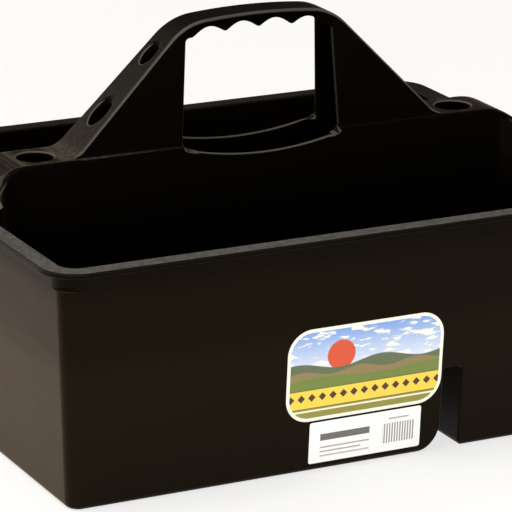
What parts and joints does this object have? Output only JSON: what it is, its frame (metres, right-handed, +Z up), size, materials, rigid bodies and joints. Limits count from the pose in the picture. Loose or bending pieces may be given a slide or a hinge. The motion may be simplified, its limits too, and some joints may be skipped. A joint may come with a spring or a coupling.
{
  "type": "grooming tote",
  "caption": "Open moulded tote with two compartments, a hollow divider with tool holes that rises into a scalloped carrying handle, and a slot under the floor.",
  "frame": {"origin": "centre of the base, on the surface that the tote stands on", "axes": "+X along the tote towards the end nearer the slot, +Y from the front wall with the labels to the rear wall, +Z up"},
  "size_m": [0.406, 0.314, 0.2555],
  "materials": {
    "tub_polyethylene": "satin black moulded polyethylene",
    "handle_polyethylene": "satin black moulded polyethylene",
    "picture_print": null,
    "tag_film": "white film sticker with plain bars"
  },
  "bodies": {
    "root": {"tub": "tub_polyethylene", "divider_handle": "handle_polyethylene", "picture_label": "picture_print", "information_label": "tag_film"}
  },
  "joints": []
}
